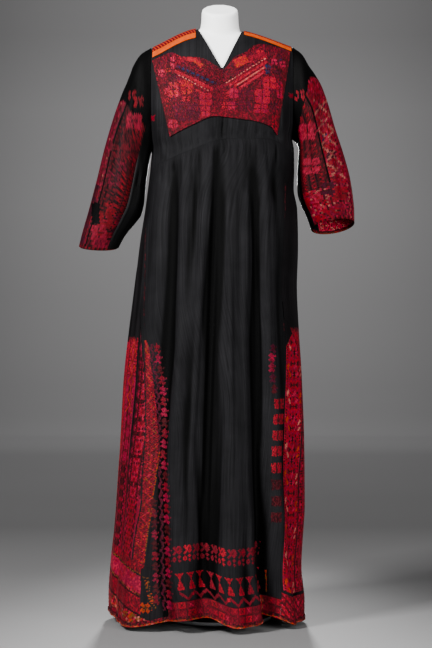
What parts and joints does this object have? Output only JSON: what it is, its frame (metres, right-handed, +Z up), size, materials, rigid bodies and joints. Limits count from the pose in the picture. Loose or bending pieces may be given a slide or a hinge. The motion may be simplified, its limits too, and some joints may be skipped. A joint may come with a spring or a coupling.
{
  "type": "embroidered palestinian thobe dress on a limbless dress form and stand",
  "caption": "Full length black dress with wide sleeves, V neck, chest panel and cross-stitched front, sides and sleeves, shown on a limbless dress form with a round based stand.",
  "frame": {"origin": "centre of the underside of the stand's round base, on the pole's axis", "axes": "+Z up, -Y the front of the dress, +X the wearer's left side, which is on the right seen from the front"},
  "size_m": [0.6673, 0.4375, 1.4957],
  "materials": {
    "black_cloth": "matt",
    "panel_cloth": "matt",
    "chest_cloth": "matt",
    "striped_silk": "satin",
    "orange_silk": "satin",
    "form_cover": "matt",
    "stand": "satin"
  },
  "bodies": {
    "root": {"back_panel": "black_cloth", "chest_panel": "chest_cloth", "cuff_binding_left": "orange_silk", "cuff_binding_right": "orange_silk", "form_base": "stand", "form_pole": "stand", "form_torso": "form_cover", "front_bodice": "black_cloth", "front_skirt": "black_cloth", "gore_left": "black_cloth", "gore_right": "black_cloth", "hem_binding": "orange_silk", "shoulder_ribbon_left": "orange_silk", "shoulder_ribbon_right": "orange_silk", "shoulder_stripes_left": "striped_silk", "shoulder_stripes_right": "striped_silk", "side_panel_left": "panel_cloth", "side_panel_right": "panel_cloth", "sleeve_outer_left": "panel_cloth", "sleeve_outer_right": "panel_cloth", "sleeve_under_left": "black_cloth", "sleeve_under_right": "black_cloth"}
  },
  "joints": []
}
